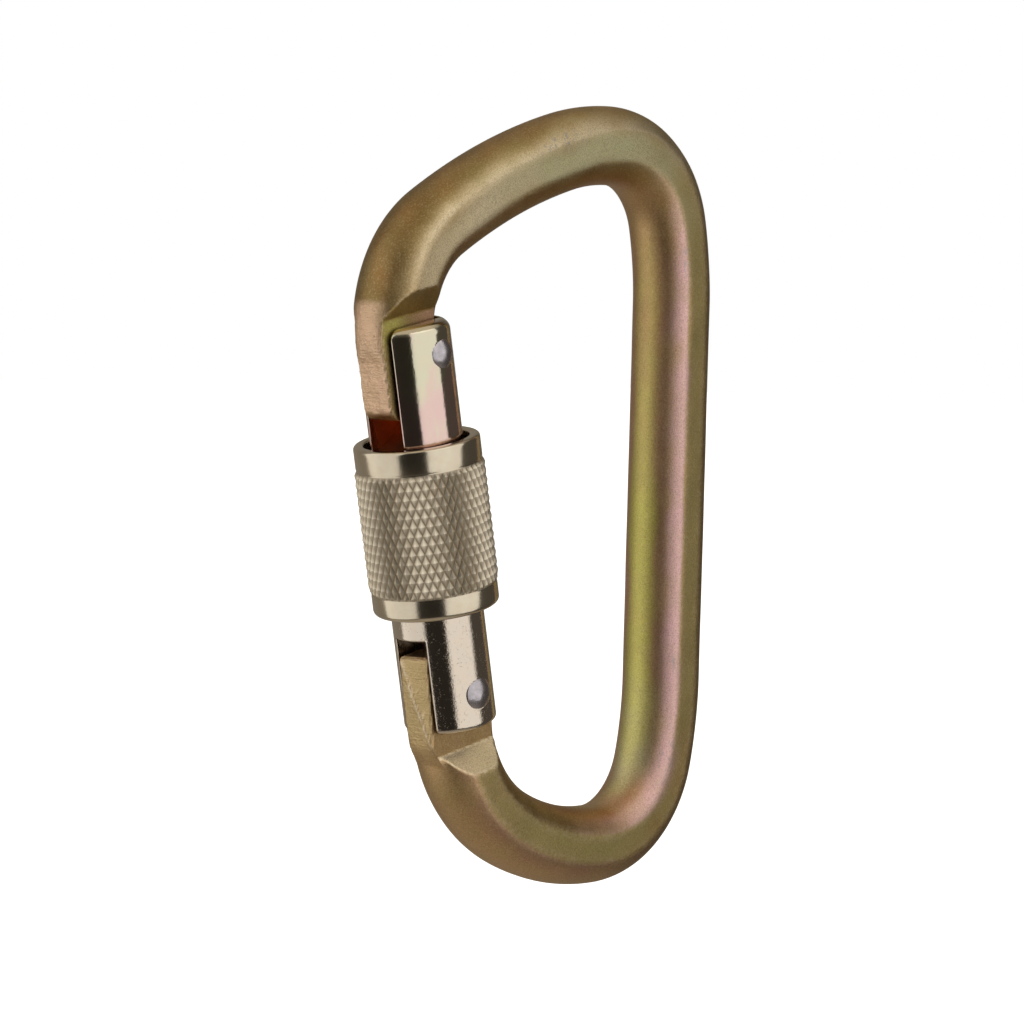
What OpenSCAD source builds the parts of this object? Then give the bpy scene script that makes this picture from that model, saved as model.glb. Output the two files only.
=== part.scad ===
// Offset-D screw-gate locking carabiner in steel.
// The carabiner hangs upright in the XZ plane: the spine is on the +X side and the gate on the -X side.
// The origin is the load point, where a rope or bolt bears on the inside of the top basket.
// The gate parts are drawn in a gate frame: its origin is the hinge axis, +z runs up the gate towards
// the nose, +x points into the loop and y is the thickness direction of the carabiner.

/* [Frame] */
// Overall length from the outside of the top basket to the outside of the bottom basket
overall_length = 112; // [109:0.5:115]
// Diameter of the round bar
bar_d = 11.25; // [11:0.05:11.4]
// Thickness of the bar across its front and back flats
bar_flat = 10.45; // [10.1:0.05:10.8]
// Distance from the spine centreline to the gate axis at mid length
gate_offset = 50.25; // [49.5:0.25:51.5]
// Lean of the gate away from the spine, in degrees
gate_lean = 11.6; // [11:0.1:12.2]
// Drop of the hinge axis below mid length
hinge_drop = 25.8; // [25.4:0.1:26.4]

/* [Baskets] */
// Radius of the top basket beside the spine
top_corner_r = 14; // [13.5:0.1:14.5]
// Heading at which the top corner eases into the spine, in degrees
top_ease_heading = 103.5; // [102:0.5:105]
// Radius of the easing curve at the top of the spine
top_ease_r = 52; // [48:1:56]
// Radius of the top basket left of the load point
top_crown_r = 38; // [36:1:40]
// Heading at the end of the top crown, in degrees
top_crown_heading = 195; // [194:0.5:197]
// Heading where the shoulder turns into the nose, in degrees
nose_heading = 211.5; // [210:0.5:213]
// Radius of the bend above the nose
nose_bend_r = 15.7; // [15:0.1:16.4]
// Radius of the bottom basket beside the spine
bottom_corner_r = 14.4; // [14:0.1:15]
// Heading at which the bottom corner eases into the spine, in degrees
bottom_ease_heading = 77; // [75:0.5:79]
// Radius of the easing curve at the bottom of the spine
bottom_ease_r = 54; // [50:1:58]
// Heading where the bend below the hinge meets the bottom basket, in degrees
hinge_bend_heading = -27.5; // [-29:0.5:-26]
// Radius of the bend below the hinge
hinge_bend_r = 21; // [20:0.25:22]

/* [Nose and tang] */
// Thickness of the tongue left between the two milled faces of the nose
tongue_t = 5.3; // [5:0.1:5.5]
// How far the nose centreline stands outboard of the gate axis
nose_outset = 1.65; // [1.5:0.05:1.75]
// Height of the tongue end above the hinge axis
tongue_end_z = 39.2; // [38.8:0.1:39.8]
// Thickness of the tang left between the two milled faces at the hinge
tang_t = 4.9; // [4.7:0.1:5.1]
// Height of the top of the tang above the hinge axis
tang_top_z = 6.2; // [6:0.05:6.4]
// Travel of the push rod for one radian of gate opening
cam_r = 2; // [1.8:0.1:2.1]

/* [Gate] */
// Outside diameter of the gate
gate_d = 12.85; // [12.6:0.05:12.9]
// Height of the gate's top end above the hinge axis
gate_top_z = 51.8; // [51.4:0.1:52]
// Drop of the gate's bottom end below the hinge axis
gate_bottom_drop = 4.8; // [4.5:0.1:5]
// Width of the slot that takes the nose tongue
upper_slot_w = 6.2; // [6:0.1:6.4]
// Width of the slot that takes the hinge tang
lower_slot_w = 5.6; // [5.5:0.1:5.8]
// Height of the top of the hinge slot above the hinge axis
lower_slot_z = 8.5; // [8.3:0.1:8.8]
// Height of the latch rivet above the hinge axis
latch_z = 47.5; // [47.3:0.1:47.7]
// How far the latch rivet stands inboard of the gate axis
latch_w = 0.75; // [0.6:0.05:0.9]
// Opening angle of the gate at its stop, in degrees
gate_opening = 26; // [20:1:27]

/* [Locking sleeve] */
// Largest diameter of the sleeve, over the knurled band
sleeve_d = 18.1; // [17.8:0.05:18.4]
// Diameter of the plain bands above and below the knurl
sleeve_band_d = 17.5; // [17.2:0.05:17.6]
// Height of the sleeve's bottom rim above the hinge axis, with the gate unlocked
sleeve_z = 11.8; // [11.6:0.1:12]
// Length of the sleeve
sleeve_len = 23.8; // [23.4:0.1:24]
// Bore of the upper part of the sleeve, which slides over the latch rivet
sleeve_bore_d = 14.6; // [14.5:0.05:14.7]

/* [Pins and spring] */
// Shank diameter of the hinge rivet
hinge_pin_d = 3.2; // [3:0.1:3.4]
// Shank diameter of the latch rivet
latch_pin_d = 3; // [2.8:0.1:3.2]
// Head diameter of the hinge rivet
hinge_head_d = 4.3; // [4.1:0.1:4.4]
// Head diameter of the latch rivet
latch_head_d = 3.9; // [3.8:0.1:4.1]
// Height of the rivet heads
head_h = 0.9; // [0.8:0.05:1]
// Wire diameter of the gate spring
wire_d = 0.8; // [0.7:0.05:0.85]
// Number of coils of the gate spring
spring_turns = 8; // [7:1:9]

/* [Hidden] */

$fn = 96;
far = 40;              // reach of a cutter past the part
run = 0.05;            // radial running clearance of pins and sliding parts

// Joins between the stretches of the bar
seam = 0.01;
collar_len = 0.3;

// Stock and load line
bar_r = bar_d / 2;
top_z = bar_r;                                   // centreline height of the top apex
bottom_z = 1.5 * bar_d - overall_length;         // centreline height of the bottom apex
mid_z = bar_d - overall_length / 2;
spine_x = top_ease_r * (1 - sin(top_ease_heading)) + top_corner_r * sin(top_ease_heading);

// Gate frame
hinge = [spine_x - gate_offset + hinge_drop * tan(gate_lean), mid_z - hinge_drop];
inward = [cos(gate_lean), sin(gate_lean)];       // direction of gate-frame x in the XZ plane
nose_down = 270 + gate_lean;                     // heading of the nose as it runs down to its end
tang_down = gate_lean - 90;                      // heading of the bar as it leaves the hinge

// Tongue, tang and their milled faces
tongue_face = -6.65;                             // trimmed outer face of the tongue
tongue_tooth = latch_w + 1.4;                    // inner edge of the tooth below the latch rivet
notch_r = 2.1;                                   // seat for the latch rivet
notch_low = latch_z - notch_r;
notch_high = latch_z + notch_r;
nose_shoulder_z = 53.2;                          // top of the nose's milled faces
nose_ramp = [6, 7.8];                            // run-out of those faces: outwards, then along the gate
tang_shoulder_z = -8.1;                          // bottom of the tang's milled faces
tang_ramp = [6, 7.4];
tang_gap = 0.03;                                 // play between push rod and tang
cam_z = tang_top_z - tang_gap;
cam_span = gate_opening + 4;
cam_steps = 15;
tang_straight = 17;                              // bar length above the bend, before its top is cut
blade_outer = 6.4;                               // widest reach of the flattened tang, outboard
blade_inner = 5.8;                               // reach of the flattened tang, inboard
blade_low = -12;
blade_steps = 12;

// Gate details
gate_r = gate_d / 2;
slot_floor = 4.8;                                // inner wall of the upper slot
slot_disc_r = 12.5;                              // radius of the slotting cutter's run-out
slot_disc_z = 47.2;
spring_bore_r = 3.6;
spring_bore_top = 24;
seat_y = 6.1;                                    // flat seat under each rivet head
rod_head_z = 8.7;
rod_head_h = 2.8;
rod_stem_r = 1.8;
rod_stem_h = 4;
spring_gap = 0.02;

// Sleeve details
sleeve_r = sleeve_d / 2;
band_r = sleeve_band_d / 2;
lower_band = 3.1;
upper_band = 3.4;
rim = 0.5;                                       // chamfer on each rim
thread_len = 9.7;                                // length of the sleeve's threaded land
groove_z = 1;                                    // drag ring groove above the sleeve's bottom rim
groove_w = 1.6;
ring_r = 0.5;                                    // section radius of the drag ring
groove_r = gate_r + run + 2 * ring_r + 2 * run;

// Point reached from p along an arc of radius r that turns left from heading a to heading b.
function arc_end(p, a, b, r) = p + r * [sin(b) - sin(a), cos(a) - cos(b)];
// Distance of p inboard of the gate axis, and its height above the hinge axis along the gate.
function inboard(p) = (p - hinge) * inward;
function height_on_gate(p) = (p - hinge) * [-sin(gate_lean), cos(gate_lean)];

// Bottom basket, from the hinge round to the spine. The radius of the crown is what closes the loop.
bottom_ease_dx = bottom_corner_r * sin(bottom_ease_heading) + bottom_ease_r * (1 - sin(bottom_ease_heading));
bottom_apex = [spine_x - bottom_ease_dx, bottom_z];
bottom_ease_start = arc_end(bottom_apex, 0, bottom_ease_heading, bottom_corner_r);
spine_low = arc_end(bottom_ease_start, bottom_ease_heading, 90, bottom_ease_r);
unit_bottom = arc_end([0, 0], 0, hinge_bend_heading, 1);
bend_run = arc_end([0, 0], hinge_bend_heading, tang_down, hinge_bend_r);
bottom_crown_r = -inboard(bottom_apex + bend_run) / (unit_bottom * inward);
hinge_bend_end = arc_end(bottom_apex, 0, hinge_bend_heading, bottom_crown_r);
tang_foot = arc_end(hinge_bend_end, hinge_bend_heading, tang_down, hinge_bend_r);

// Top basket, from the spine over to the nose. The radius of the shoulder is what closes the loop.
top_apex = [0, top_z];
top_ease_end = arc_end(top_apex, 180, top_ease_heading, top_corner_r);
spine_high = arc_end(top_ease_end, top_ease_heading, 90, top_ease_r);
crown_end = arc_end(top_apex, 180, top_crown_heading, top_crown_r);
unit_shoulder = arc_end([0, 0], top_crown_heading, nose_heading, 1);
nose_run = arc_end([0, 0], nose_heading, nose_down, nose_bend_r);
shoulder_r = (-nose_outset - inboard(crown_end + nose_run)) / (unit_shoulder * inward);
shoulder_end = arc_end(crown_end, top_crown_heading, nose_heading, shoulder_r);
nose_root = arc_end(shoulder_end, nose_heading, nose_down, nose_bend_r);

// Section of the bar: round, with a flat on the front and on the back. It may stand proud by a hair.
module bar_section(proud = 0) {
    intersection() {
        circle(r = bar_r + proud);
        square([2 * bar_d, bar_flat + 2 * proud], center = true);
    }
}

// One bend of the bar, from p, turning left from heading a to heading b, short of each end by a hair.
module bend(p, a, b, r) {
    centre = p + r * [-sin(a), cos(a)];
    short = seam / r * 180 / PI;
    translate([centre[0], 0, centre[1]])
        rotate([90, 0, 0])
            rotate_extrude(start = a + short - 90, angle = b - a - 2 * short, $fn = 180)
                translate([r, 0])
                    bar_section();
}

// A straight of the bar, from p along a heading, short of each end by a hair.
module straight(p, heading, length) {
    translate([p[0], 0, p[1]])
        rotate([0, 90 - heading, 0])
            translate([0, 0, seam])
                linear_extrude(length - 2 * seam)
                    bar_section();
}

// Hair-thin collar that joins two stretches of the bar at p, where it runs along a heading.
module collar(p, heading) {
    translate([p[0], 0, p[1]])
        rotate([0, 90 - heading, 0])
            translate([0, 0, -collar_len / 2])
                linear_extrude(collar_len)
                    bar_section(proud = seam);
}

// Places its children, drawn in the gate frame, on the carabiner.
module in_gate_frame() {
    translate([hinge[0], 0, hinge[1]])
        rotate([0, -gate_lean, 0])
            children();
}

// Runs an outline drawn in gate-frame x and z through the thickness of the carabiner.
module through_y(thickness) {
    rotate([90, 0, 0])
        translate([0, 0, -thickness / 2])
            linear_extrude(thickness)
                children();
}

// A cylinder across the carabiner at height z in the gate frame, x inboard of the gate axis.
module cross_pin(r, length, z, x = 0) {
    translate([x, 0, z])
        rotate([90, 0, 0])
            cylinder(r = r, h = length, center = true);
}

// Metal milled off both sides of the bar: faces y = +-t/2 from z_open to z_shoulder, then a ramp.
module milled_faces(t, z_open, z_shoulder, ramp) {
    way = sign(z_shoulder - z_open);
    for (side = [-1, 1])
        rotate([90, 0, 90])
            translate([0, 0, -far / 2])
                linear_extrude(far)
                    polygon([[side * t / 2, z_open], [side * t / 2, z_shoulder],
                             [side * (t / 2 + ramp[0]), z_shoulder + way * ramp[1]],
                             [side * (t / 2 + ramp[0]), z_open]]);
}

// What is cut from the nose: milled faces, the seat for the latch rivet and the shape of the tooth.
module nose_cuts() {
    milled_faces(tongue_t, tongue_end_z - 4, nose_shoulder_z, nose_ramp);
    cross_pin(notch_r, far, latch_z, latch_w);
    through_y(far) {
        translate([latch_w, notch_low])
            square([far, notch_high - notch_low]);
        translate([tongue_tooth, tongue_end_z - 4])
            square([far, notch_low - tongue_end_z + 4.1]);
        translate([tongue_face - far, tongue_end_z - 4])
            square([far, gate_top_z - tongue_end_z + 2]);
    }
    corner_round(tongue_face, tongue_end_z, 2.2, [-1, -1]);
    corner_round(tongue_tooth, tongue_end_z, 1, [1, -1]);
}

// Rounds the corner of an outline at x, z to radius r. way points out of the corner along x and z.
module corner_round(x, z, r, way) {
    through_y(far)
        difference() {
            translate([x - (way[0] > 0 ? r : 1), z - (way[1] > 0 ? r : 1)])
                square(r + 1);
            translate([x - way[0] * r, z - way[1] * r])
                circle(r = r);
        }
}

// Involute lift of the tang: the push rod rises by cam_r for each radian that the gate opens.
function cam_point(a) =
    let (h = cam_z + cam_r * a * PI / 180)
    [h * sin(a) + cam_r * cos(a), h * cos(a) - cam_r * sin(a)];

// Edge of the flattened tang at height z. It bulges a little, then runs into the bar below.
function blade_edge(reach, z) =
    reach < 0 ? reach + 0.0046 * pow(z + 4, 2) + 0.12 * pow(max(0, -6 - z), 2)
              : reach - 0.03 * pow(max(0, -4 - z), 2);

// Flattened end of the bar at the hinge, before milling.
module tang_blade() {
    rise = tang_straight - 8 - blade_low;
    height = function (i) blade_low + rise * i / blade_steps;
    through_y(tang_t + 0.1)
        polygon(concat([for (i = [0:blade_steps]) [blade_edge(blade_inner, height(i)), height(i)]],
                       [for (i = [blade_steps:-1:0]) [blade_edge(-blade_outer, height(i)), height(i)]]));
}

// What is cut from the tang: milled faces, the cam on its top and the bore for the hinge rivet.
module tang_cuts() {
    cam = [for (i = [0:cam_steps]) cam_point(cam_span * i / cam_steps)];
    milled_faces(tang_t, tang_straight, tang_shoulder_z, tang_ramp);
    through_y(far)
        polygon(concat([[-far, cam_z]], cam, [[far, cam_z - 4], [far, tang_straight],
                       [-far, tang_straight]]));
    corner_round(blade_edge(-blade_outer, cam_z), cam_z, 0.8, [-1, 1]);
    cross_pin(hinge_pin_d / 2 + run, far, 0);
}

// The forged bar before milling, as stretches from the hinge round to the nose and a collar at each join.
module bar() {
    tang_end = tang_foot + tang_straight * [-sin(gate_lean), cos(gate_lean)];
    nose_length = height_on_gate(nose_root) - tongue_end_z;
    straight(tang_end, tang_down, tang_straight);
    bend(tang_foot, tang_down, hinge_bend_heading, hinge_bend_r);
    bend(hinge_bend_end, hinge_bend_heading, 0, bottom_crown_r);
    bend(bottom_apex, 0, bottom_ease_heading, bottom_corner_r);
    bend(bottom_ease_start, bottom_ease_heading, 90, bottom_ease_r);
    straight(spine_low, 90, spine_high[1] - spine_low[1]);
    bend(spine_high, 90, top_ease_heading, top_ease_r);
    bend(top_ease_end, top_ease_heading, 180, top_corner_r);
    bend(top_apex, 180, top_crown_heading, top_crown_r);
    bend(crown_end, top_crown_heading, nose_heading, shoulder_r);
    bend(shoulder_end, nose_heading, nose_down, nose_bend_r);
    straight(nose_root, nose_down, nose_length);
    for (join = [[tang_foot, tang_down], [hinge_bend_end, hinge_bend_heading], [bottom_apex, 0],
                 [bottom_ease_start, bottom_ease_heading], [spine_low, 90], [spine_high, 90],
                 [top_ease_end, top_ease_heading], [top_apex, 180], [crown_end, top_crown_heading],
                 [shoulder_end, nose_heading], [nose_root, nose_down]])
        collar(join[0], join[1]);
}

module body() {
    color("darkkhaki")
        difference() {
            union() {
                bar();
                in_gate_frame()
                    tang_blade();
            }
            in_gate_frame() {
                nose_cuts();
                tang_cuts();
            }
        }
}

// Solid bar of the gate with its edges eased.
module gate_bar() {
    ease_top = 0.9;
    ease_low = 0.7;
    low = -gate_bottom_drop;
    rotate_extrude()
        polygon([[0, low], [gate_r - ease_low, low], [gate_r, low + ease_low],
                 [gate_r, gate_top_z - ease_top], [gate_r - ease_top, gate_top_z],
                 [0, gate_top_z]]);
}

// Slot for the nose tongue: open at the top and outside, with the cutter's round run-out below.
module upper_slot() {
    through_y(upper_slot_w) {
        translate([slot_floor - far, slot_disc_z])
            square([far, far]);
        translate([slot_floor - slot_disc_r, slot_disc_z])
            circle(r = slot_disc_r);
    }
}

module gate() {
    color("rosybrown")
        in_gate_frame()
            difference() {
                gate_bar();
                upper_slot();
                translate([-far / 2, -lower_slot_w / 2, -far / 2])
                    cube([far, lower_slot_w, far / 2 + lower_slot_z]);
                cylinder(r = spring_bore_r, h = spring_bore_top);
                cross_pin(hinge_pin_d / 2, far, 0);
                cross_pin(latch_pin_d / 2, far, latch_z, latch_w);
                for (side = [-1, 1]) {
                    head_seat(side, hinge_head_d, 0, 0);
                    head_seat(side, latch_head_d, latch_z, latch_w);
                }
            }
}

// Flat seat milled into the gate under one rivet head.
module head_seat(side, head_d, z, x) {
    translate([x, side * (seat_y + far / 2), z])
        rotate([90, 0, 0])
            cylinder(r = head_d / 2 + 0.05, h = far, center = true);
}

// Rivet across the gate with a domed head on each side.
module rivet(pin_d, head_d, z, x) {
    head_r = head_d / 2;
    dome_r = (head_r * head_r + head_h * head_h) / (2 * head_h);
    cross_pin(pin_d / 2, 2 * seat_y, z, x);
    for (side = [-1, 1])
        translate([x, 0, z])
            intersection() {
                translate([0, side * (seat_y + head_h - dome_r), 0])
                    sphere(r = dome_r);
                translate([0, side * (seat_y + head_h), 0])
                    rotate([90, 0, 0])
                        cylinder(r = 2 * head_r, h = 2 * head_h, center = true);
            }
}

module hinge_rivet() {
    color("slategray")
        in_gate_frame()
            rivet(hinge_pin_d, hinge_head_d, 0, 0);
}

module latch_rivet() {
    color("slategray")
        in_gate_frame()
            rivet(latch_pin_d, latch_head_d, latch_z, latch_w);
}

// Sleeve: plain bands either side of the knurl, a threaded land below and a wide bore above.
module locking_sleeve() {
    bore = sleeve_bore_d / 2;
    land = gate_r + run;
    color("tan")
        in_gate_frame()
            translate([0, 0, sleeve_z])
                rotate_extrude()
                    polygon([[land + rim, 0], [band_r - rim, 0], [band_r, rim], [band_r, lower_band],
                             [sleeve_r, lower_band + 0.3], [sleeve_r, sleeve_len - upper_band - 0.3],
                             [band_r, sleeve_len - upper_band], [band_r, sleeve_len - rim],
                             [band_r - rim, sleeve_len], [bore + rim, sleeve_len],
                             [bore, sleeve_len - rim], [bore, thread_len + bore - land],
                             [land, thread_len], [land, groove_z + groove_w],
                             [groove_r, groove_z + groove_w], [groove_r, groove_z],
                             [land, groove_z], [land, rim]]);
}

// Round ring held in the sleeve's groove, rubbing lightly on the gate.
module sleeve_drag_ring() {
    color("black")
        in_gate_frame()
            translate([0, 0, sleeve_z + groove_z + groove_w / 2])
                rotate_extrude()
                    translate([gate_r + run + ring_r, 0])
                        circle(r = ring_r, $fn = 32);
}

// Push rod: a head that slides in the spring bore, a nose that bears on the tang and a spring guide.
module push_rod() {
    head_r = spring_bore_r - run;
    nose_r = lower_slot_w / 2 - 0.2;
    color("gainsboro")
        in_gate_frame() {
            translate([0, 0, tang_top_z])
                cylinder(r = nose_r, h = rod_head_z - tang_top_z + 0.5);
            translate([0, 0, rod_head_z])
                cylinder(r = head_r, h = rod_head_h);
            translate([0, 0, rod_head_z + rod_head_h - 0.5])
                cylinder(r = rod_stem_r, h = rod_stem_h + 0.5);
        }
}

// Closed tube of round wire along a helix, as one mesh.
module coil(coil_r, wire_r, z_low, z_high, turns) {
    sides = 8;
    steps = turns * 20;
    angle_at = function (i) 360 * turns * i / steps;
    height_at = function (i) z_low + wire_r + (z_high - z_low - 2 * wire_r) * i / steps;
    points = [for (i = [0:steps], k = [0:sides - 1])
        let (a = angle_at(i), b = 360 * k / sides, r = coil_r + wire_r * cos(b))
        [r * cos(a), r * sin(a), height_at(i) + wire_r * sin(b)]];
    walls = [for (i = [0:steps - 1], k = [0:sides - 1])
        let (n = (k + 1) % sides)
        [i * sides + k, (i + 1) * sides + k, (i + 1) * sides + n, i * sides + n]];
    low_cap = [for (k = [0:sides - 1]) k];
    high_cap = [for (k = [0:sides - 1]) steps * sides + sides - 1 - k];
    polyhedron(points, concat(walls, [low_cap, high_cap]), convexity = 10);
}

module gate_spring() {
    coil_r = spring_bore_r - 0.3 - wire_d / 2;
    color("silver")
        in_gate_frame()
            coil(coil_r, wire_d / 2, rod_head_z + rod_head_h + spring_gap,
                 spring_bore_top - spring_gap, spring_turns);
}

body();
gate();
locking_sleeve();
sleeve_drag_ring();
hinge_rivet();
latch_rivet();
push_rod();
gate_spring();
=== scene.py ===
"""Screw-gate carabiner: finished meshes, metals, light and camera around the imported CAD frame.

Shapes are worked out in millimetres and become metres when their mesh is made. "Gate frame" is the
frame of the gate parts: origin on the hinge axis, w into the loop, y as in the row frame, u up the gate.
"""

import math

import bpy
import numpy as np
import openvdb
from mathutils import Matrix, Vector


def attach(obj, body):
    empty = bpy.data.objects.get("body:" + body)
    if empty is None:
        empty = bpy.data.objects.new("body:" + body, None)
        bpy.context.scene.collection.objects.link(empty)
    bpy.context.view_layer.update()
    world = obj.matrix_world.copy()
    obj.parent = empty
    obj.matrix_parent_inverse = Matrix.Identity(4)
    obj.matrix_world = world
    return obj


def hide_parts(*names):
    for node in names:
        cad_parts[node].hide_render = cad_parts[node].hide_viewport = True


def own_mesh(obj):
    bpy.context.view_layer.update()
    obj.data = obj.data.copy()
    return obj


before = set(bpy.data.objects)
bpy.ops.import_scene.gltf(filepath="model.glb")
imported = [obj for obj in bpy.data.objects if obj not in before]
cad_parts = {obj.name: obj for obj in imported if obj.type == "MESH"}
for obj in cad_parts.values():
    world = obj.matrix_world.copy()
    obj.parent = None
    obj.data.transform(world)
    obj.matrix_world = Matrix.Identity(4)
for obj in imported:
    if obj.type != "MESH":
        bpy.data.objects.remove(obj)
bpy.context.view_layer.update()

MM = 0.001

# Bar and loop, as in the CAD source
BAR_R = 5.625
BAR_HALF_FLAT = 5.225
LEAN = math.radians(11.6)
HINGE = np.array([-29.9041, -70.55])
TANG_FOOT = (-28.6931, -76.4495)
BOTTOM_APEX = (-0.365045, -95.125)
TOP_APEX = (0.0, 5.625)
SPINE_X, SPINE_LOW, SPINE_HIGH = 15.0499, -71.8169, -17.2459
TANG_STRAIGHT, NOSE_STRAIGHT = 17.0, 12.0

# Headings in degrees, and radii, of the bends from the tang round to the nose
TANG_HEADING, BOTTOM_HEADING, LOW_HEADING = 11.6 - 90, -27.5, 77
HIGH_HEADING, CROWN_HEADING, SHOULDER_HEADING, NOSE_HEADING = 103.5, 195, 211.5, 270 + 11.6
TANG_BEND, BOTTOM_CROWN, BOTTOM_BEND, LOW_EASE = 21.0, 37.7992, 14.4, 54.0
HIGH_EASE, TOP_BEND, TOP_CROWN, SHOULDER, NOSE_BEND = 52.0, 14.0, 38.0, 92.5373, 15.7

# Gate, rivets and sleeve, as in the CAD source, in the gate frame
GATE_R, GATE_TOP, GATE_LOW = 6.425, 51.8, -4.8
LATCH_W, LATCH_U = 0.75, 47.5
HINGE_PIN_R, LATCH_PIN_R, SEAT_Y = 1.6, 1.5, 6.1
SPRING_TOP = 24.0
SLEEVE_U, SLEEVE_LEN = 11.8, 23.8
PITCH = 2.5


def arc_end(p, a, b, r):
    """Point reached from p along an arc of radius r that turns left from heading a to b, in degrees."""
    a, b = math.radians(a), math.radians(b)
    return (p[0] + r * (math.sin(b) - math.sin(a)), p[1] + r * (math.cos(a) - math.cos(b)))


def loop_pieces():
    """The bar's centreline in XZ, from tang to nose: ("line", p, heading, length) or ("arc", p, a, b, r)."""
    crown_start = arc_end(BOTTOM_APEX, 0, BOTTOM_HEADING, BOTTOM_CROWN)
    low_ease = arc_end(BOTTOM_APEX, 0, LOW_HEADING, BOTTOM_BEND)
    high_ease = arc_end((SPINE_X, SPINE_HIGH), 90, HIGH_HEADING, HIGH_EASE)
    shoulder = arc_end(TOP_APEX, 180, CROWN_HEADING, TOP_CROWN)
    nose_bend = arc_end(shoulder, CROWN_HEADING, SHOULDER_HEADING, SHOULDER)
    nose_root = arc_end(nose_bend, SHOULDER_HEADING, NOSE_HEADING, NOSE_BEND)
    up = math.radians(TANG_HEADING + 180)
    tang_end = (TANG_FOOT[0] + TANG_STRAIGHT * math.cos(up), TANG_FOOT[1] + TANG_STRAIGHT * math.sin(up))
    return [
        ("line", tang_end, TANG_HEADING, TANG_STRAIGHT),
        ("arc", TANG_FOOT, TANG_HEADING, BOTTOM_HEADING, TANG_BEND),
        ("arc", crown_start, BOTTOM_HEADING, 0, BOTTOM_CROWN),
        ("arc", BOTTOM_APEX, 0, LOW_HEADING, BOTTOM_BEND),
        ("arc", low_ease, LOW_HEADING, 90, LOW_EASE),
        ("line", (SPINE_X, SPINE_LOW), 90, SPINE_HIGH - SPINE_LOW),
        ("arc", (SPINE_X, SPINE_HIGH), 90, HIGH_HEADING, HIGH_EASE),
        ("arc", high_ease, HIGH_HEADING, 180, TOP_BEND),
        ("arc", TOP_APEX, 180, CROWN_HEADING, TOP_CROWN),
        ("arc", shoulder, CROWN_HEADING, SHOULDER_HEADING, SHOULDER),
        ("arc", nose_bend, SHOULDER_HEADING, NOSE_HEADING, NOSE_BEND),
        ("line", nose_root, NOSE_HEADING, NOSE_STRAIGHT),
    ]


LOOP = loop_pieces()


def along_loop(x, z):
    """Distance from the centreline, signed distance inboard of it and length along it, for points in XZ.

    The length is 0 at the foot of the tang and about 210 mm at the root of the nose.
    """
    best = np.full(x.shape, 1e9)
    inboard = np.zeros(x.shape)
    along = np.zeros(x.shape)
    start = -TANG_STRAIGHT
    for kind, p, a, *rest in LOOP:
        if kind == "line":
            (length,) = rest
            c, s = math.cos(math.radians(a)), math.sin(math.radians(a))
            t = (x - p[0]) * c + (z - p[1]) * s
            side = (z - p[1]) * c - (x - p[0]) * s
            over = np.maximum(np.maximum(-t, t - length), 0)
            d = np.hypot(side, over)
            s_here = start + np.clip(t, 0, length)
        else:
            b, r = rest
            cx, cz = p[0] - r * math.sin(math.radians(a)), p[1] + r * math.cos(math.radians(a))
            qx, qz = x - cx, z - cz
            rho = np.hypot(qx, qz)
            mid = (a + b) / 2
            turn = (np.degrees(np.arctan2(qz, qx)) + 90 - mid + 180) % 360 - 180
            half = (b - a) / 2
            over = np.radians(np.maximum(np.abs(turn) - half, 0))
            side = r - rho
            d = np.where(over > 0, np.hypot(side, 2 * np.sqrt(rho * r) * np.sin(over / 2)), np.abs(side))
            s_here = start + r * np.radians(np.clip(turn, -half, half) + half)
            length = r * math.radians(b - a)
        near = d < best
        best = np.where(near, d, best)
        inboard = np.where(near, side, inboard)
        along = np.where(near, s_here, along)
        start += length
    return best, inboard, along


def to_gate(p):
    """Row-frame points in mm to gate-frame w, y, u."""
    c, s = math.cos(LEAN), math.sin(LEAN)
    dx, dz = p[:, 0] - HINGE[0], p[:, 2] - HINGE[1]
    return dx * c + dz * s, p[:, 1], dz * c - dx * s


def both(a, b, r):
    """Solid where a and b are both inside, with their shared edge rounded to about r."""
    return np.minimum(-r, np.maximum(a, b)) + np.hypot(np.maximum(r + a, 0), np.maximum(r + b, 0))


def either(a, b, r):
    """Solid where a or b is inside, with a fillet of about r in the corner between them."""
    return np.maximum(r, np.minimum(a, b)) - np.hypot(np.maximum(r - a, 0), np.maximum(r - b, 0))


def ripple(p, wavelength, seed, waves=7):
    """Smooth random waves from about -1 to 1, the same in each run."""
    rng = np.random.default_rng(seed)
    total = np.zeros(len(p))
    for _ in range(waves):
        k = rng.normal(size=3)
        k *= 2 * math.pi / (np.linalg.norm(k) * wavelength * rng.uniform(0.7, 1.5))
        total += np.sin(p @ k + rng.uniform(0, 2 * math.pi))
    return total / math.sqrt(waves) / 1.2


def bump_curve(x, centre, half):
    """1 at centre, falling smoothly to about a third at a distance of half and to nearly 0 at twice that."""
    return np.exp(-(((x - centre) / half) ** 2))


def soft_step(x, softness):
    """0 well below zero, 1 well above it."""
    return 1 / (1 + np.exp(-np.clip(x / softness, -30, 30)))


# --------------------------------------------------------------------------------------------------
# Solids as signed distances
# --------------------------------------------------------------------------------------------------

# Nose: half thickness of the tongue, height and slope of its shoulders, face, end, tooth and notch
TONGUE_HALF, NOSE_SHOULDER_U, NOSE_SLOPE = 2.65, 53.2, 1.3
TONGUE_FACE_W, TONGUE_END_U = -6.65, 39.2
TOOTH_W, TOOTH_TOP_U, NOTCH_R = 2.15, 45.4, 2.1

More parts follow.
